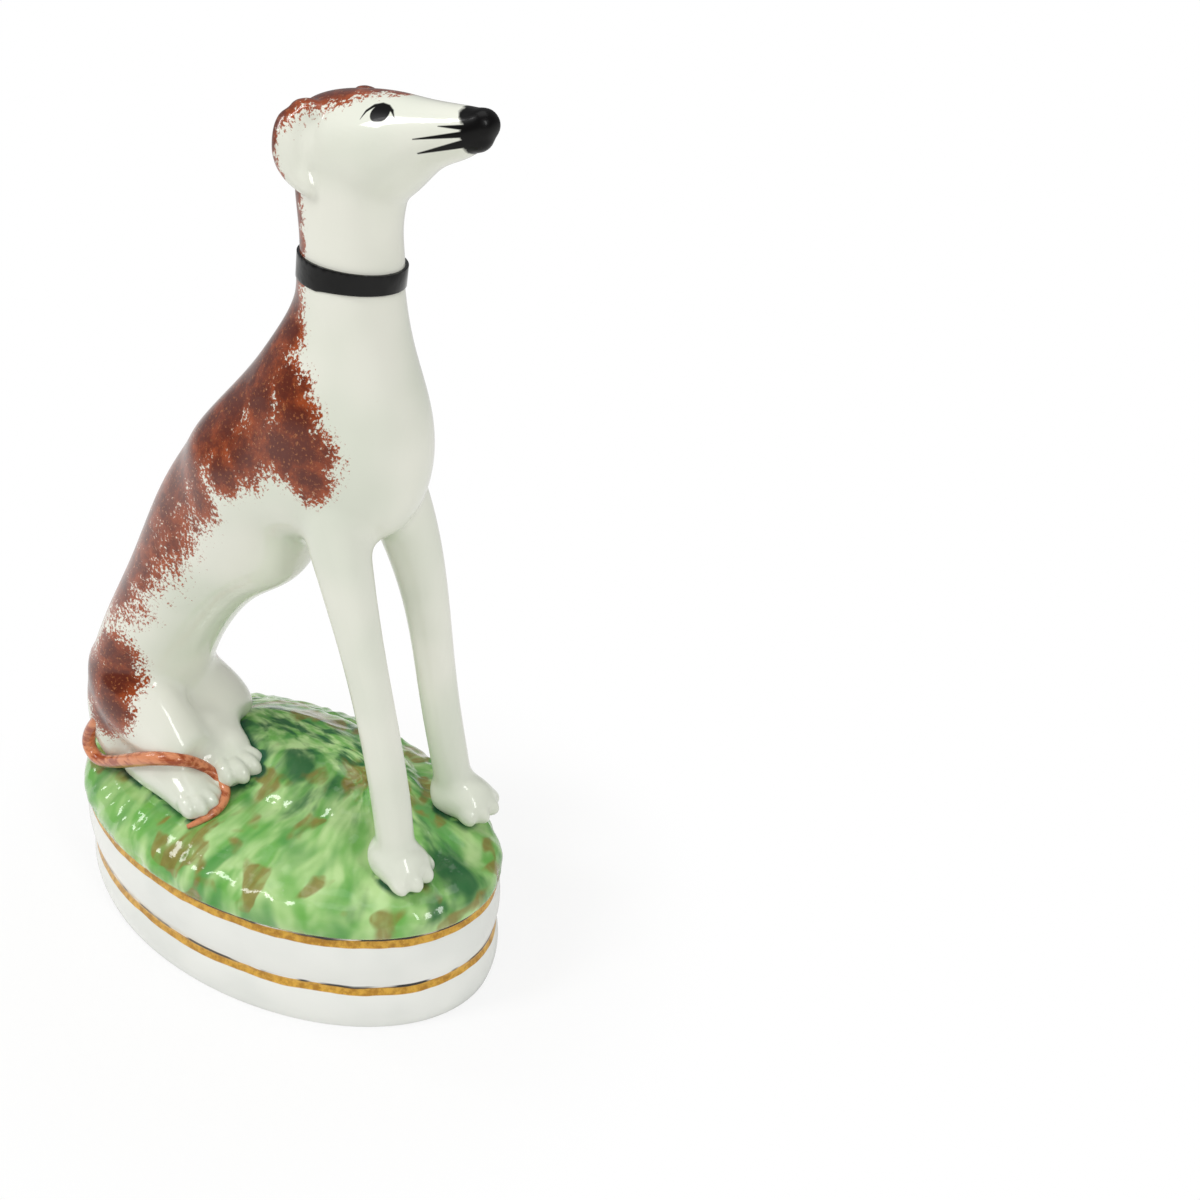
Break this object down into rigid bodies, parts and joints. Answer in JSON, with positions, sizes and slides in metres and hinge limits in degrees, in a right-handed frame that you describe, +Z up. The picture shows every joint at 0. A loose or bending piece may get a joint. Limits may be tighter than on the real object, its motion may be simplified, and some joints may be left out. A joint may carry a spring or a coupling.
{
  "type": "staffordshire dog figure",
  "caption": "Seated hound with raised head, collar and a tail curled over one hind foot, on a green grass mound and an oval two-tier plinth.",
  "frame": {"origin": "centre of the oval plinth's underside", "axes": "+X towards the hound's nose along the plinth's long axis, -Y towards the side with the curled tail, +Z up"},
  "size_m": [0.1556, 0.0934, 0.2587],
  "materials": {
    "white_glaze": "gloss",
    "green_glaze": "gloss",
    "black_enamel": "gloss",
    "russet_enamel": "gloss",
    "bare_earthenware": "matt"
  },
  "bodies": {
    "root": {"plinth_wall": "white_glaze", "plinth_floor": "bare_earthenware", "grass_mound": "green_glaze", "body_right_half": "white_glaze", "body_left_half": "white_glaze", "head": "white_glaze", "collar": "black_enamel", "ear_right": "white_glaze", "ear_left": "white_glaze", "foreleg_right": "white_glaze", "foreleg_left": "white_glaze", "thigh_right": "white_glaze", "thigh_left": "white_glaze", "hind_foot_right": "white_glaze", "hind_foot_left": "white_glaze", "tail": "russet_enamel"}
  },
  "joints": []
}
